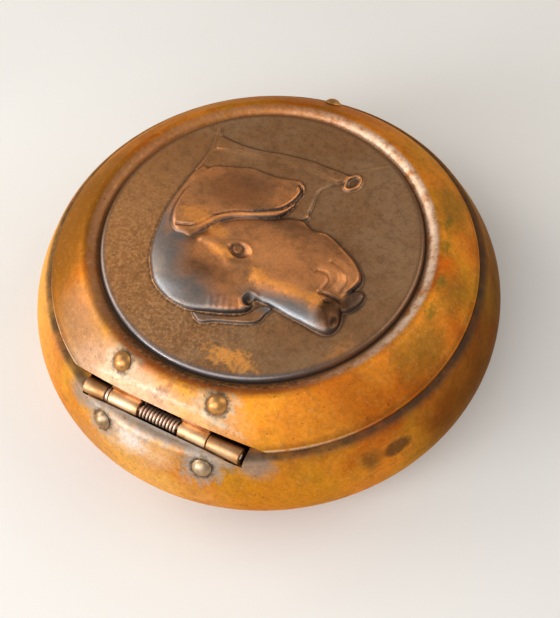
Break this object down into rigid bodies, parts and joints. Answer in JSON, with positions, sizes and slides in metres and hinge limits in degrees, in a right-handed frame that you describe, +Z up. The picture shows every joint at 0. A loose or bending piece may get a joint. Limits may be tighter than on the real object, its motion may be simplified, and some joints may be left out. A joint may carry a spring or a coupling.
{
  "type": "round pocket box",
  "caption": "Round brass pocket box with a domed lid on a sprung riveted hinge and a stamped hound's-head medallion.",
  "frame": {"origin": "centre of the flat base, on the surface that the box stands on", "axes": "+Z up through the middle of the lid, +Y towards the hinge, +X along the hinge pin"},
  "size_m": [0.088, 0.088, 0.0316],
  "materials": {
    "body_brass": "aged orange-gold brass with dark patches",
    "lid_brass": "aged orange-gold brass, paler at the hinge",
    "medallion_bronze": "dark bronzed, worn to warm copper on the relief",
    "hinge_brass": "tarnished brass",
    "rivet_brass": "tarnished brass with grime round the heads",
    "spring_steel": "browned wire"
  },
  "bodies": {
    "body": {"body_shell": "body_brass", "body_hinge_leaf": "hinge_brass", "body_rivet_left": "rivet_brass", "body_rivet_right": "rivet_brass", "hinge_pin": "spring_steel", "hinge_washer": "spring_steel", "hinge_spring": "spring_steel"},
    "lid": {"lid_shell": "lid_brass", "medallion": "medallion_bronze", "lid_hinge_leaf": "hinge_brass", "lid_rivet_left": "rivet_brass", "lid_rivet_right": "rivet_brass", "catch_tongue": "hinge_brass", "catch_rivet": "rivet_brass"}
  },
  "joints": [
    {"name": "lid_hinge", "type": "hinge", "parent": "body", "child": "lid", "pos_m": [0, 0.0362, 0.02265], "axis": [-1, 0, 0], "range_deg": [0, 97], "deforming": ["hinge_spring"]}
  ]
}
